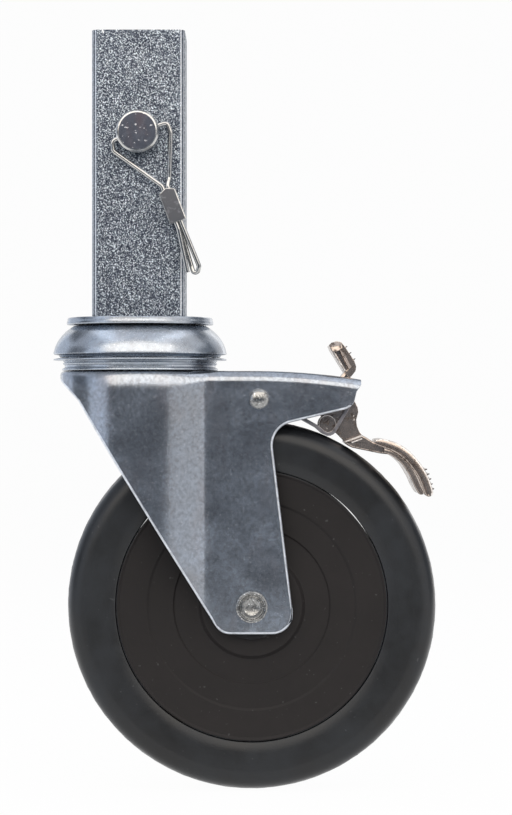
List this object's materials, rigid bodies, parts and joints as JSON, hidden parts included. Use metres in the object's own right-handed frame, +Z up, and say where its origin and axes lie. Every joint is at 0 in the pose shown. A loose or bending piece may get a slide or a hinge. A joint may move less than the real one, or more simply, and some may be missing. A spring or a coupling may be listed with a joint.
{
  "type": "scaffold castor",
  "caption": "Swivel castor for a scaffold leg: square tube stem with cross locking pin and pull wire, ball swivel head, pressed fork, solid wheel and foot brake lever.",
  "frame": {"origin": "swivel axis at the top face of the collar, where the scaffold leg's end seats", "axes": "+Z up along the stem, +X towards the trailing wheel and the brake lever, the pin's head on the -Y side"},
  "size_m": [0.1323, 0.06, 0.2603],
  "materials": {
    "galvanised_steel": "spangled galvanised, matt",
    "zinc_plate": "satin zinc plate with fine speckle",
    "bright_steel": "bright turned steel",
    "pin_steel": "dark smooth steel with a bright edge",
    "wire_steel": "drawn wire",
    "dark_crimp": "dark crimped metal",
    "brown_nickel": "warm brownish bright plate",
    "spring_steel": "plain spring steel",
    "tyre_rubber": "dusty black rubber",
    "core_rubber": "warm black moulded rubber",
    "bronze_bush": "plain bearing bronze"
  },
  "bodies": {
    "stem_head": {"stem_tube": "galvanised_steel", "stem_foot_plug": "bright_steel", "kingpin": "bright_steel", "kingpin_nut": "bright_steel", "collar_washer": "zinc_plate", "raceway_cap": "zinc_plate", "lower_race_cup": "zinc_plate"},
    "fork_frame": {"fork": "zinc_plate", "race_ring": "bright_steel", "dust_seal": "zinc_plate", "anchor_rivet": "bright_steel", "brake_bracket": "zinc_plate", "lever_pivot_pin": "bright_steel", "axle": "bright_steel", "axle_sleeve": "bright_steel", "hub_washer_near": "bright_steel", "hub_washer_far": "bright_steel"},
    "wheel": {"tyre": "tyre_rubber", "wheel_core": "core_rubber", "hub_bush": "bronze_bush"},
    "lever": {"brake_lever": "brown_nickel"},
    "shoe": {"brake_shoe": "spring_steel"},
    "pin": {"lock_pin": "pin_steel"},
    "wire": {"pull_wire": "wire_steel", "wire_sleeve": "dark_crimp"},
    "bearing_balls": {"upper_ball_01": "bright_steel", "upper_ball_02": "bright_steel", "upper_ball_03": "bright_steel", "upper_ball_04": "bright_steel", "upper_ball_05": "bright_steel", "upper_ball_06": "bright_steel", "upper_ball_07": "bright_steel", "upper_ball_08": "bright_steel", "upper_ball_09": "bright_steel", "upper_ball_10": "bright_steel", "upper_ball_11": "bright_steel", "upper_ball_12": "bright_steel", "upper_ball_13": "bright_steel", "upper_ball_14": "bright_steel", "upper_ball_15": "bright_steel", "lower_ball_01": "bright_steel", "lower_ball_02": "bright_steel", "lower_ball_03": "bright_steel", "lower_ball_04": "bright_steel", "lower_ball_05": "bright_steel", "lower_ball_06": "bright_steel", "lower_ball_07": "bright_steel", "lower_ball_08": "bright_steel", "lower_ball_09": "bright_steel", "lower_ball_10": "bright_steel", "lower_ball_11": "bright_steel", "lower_ball_12": "bright_steel"}
  },
  "joints": [
    {"name": "swivel", "type": "hinge", "parent": "stem_head", "child": "fork_frame", "pos_m": [0, 0, -0.0185], "axis": [0, 0, 1], "continuous": true},
    {"name": "wheel_spin", "type": "hinge", "parent": "fork_frame", "child": "wheel", "pos_m": [0.03875, 0, -0.0988], "axis": [0, 1, 0], "continuous": true},
    {"name": "brake_release", "type": "hinge", "parent": "fork_frame", "child": "lever", "pos_m": [0.06561, 0, -0.02865], "axis": [0, -1, 0], "range_deg": [0, 35]},
    {"name": "shoe_lift", "type": "hinge", "parent": "fork_frame", "child": "shoe", "pos_m": [0.04125, 0, -0.02806], "axis": [0, -1, 0], "range_deg": [0, 2.1]},
    {"name": "pin_pull", "type": "slide", "parent": "stem_head", "child": "pin", "axis": [0, -1, 0], "range_m": [0, 0.035]},
    {"name": "wire_swing", "type": "hinge", "parent": "pin", "child": "wire", "pos_m": [0, -0.01928, 0.0627], "axis": [-0.9489, 0, -0.3156], "range_deg": [0, 150]},
    {"name": "balls_roll", "type": "hinge", "parent": "stem_head", "child": "bearing_balls", "pos_m": [0, 0, -0.0088], "axis": [0, 0, 1], "continuous": true}
  ],
  "couplings": [
    {"joint": "shoe_lift", "follows": "brake_release", "ratio": 0.0571},
    {"joint": "balls_roll", "follows": "swivel", "ratio": 0.5}
  ]
}
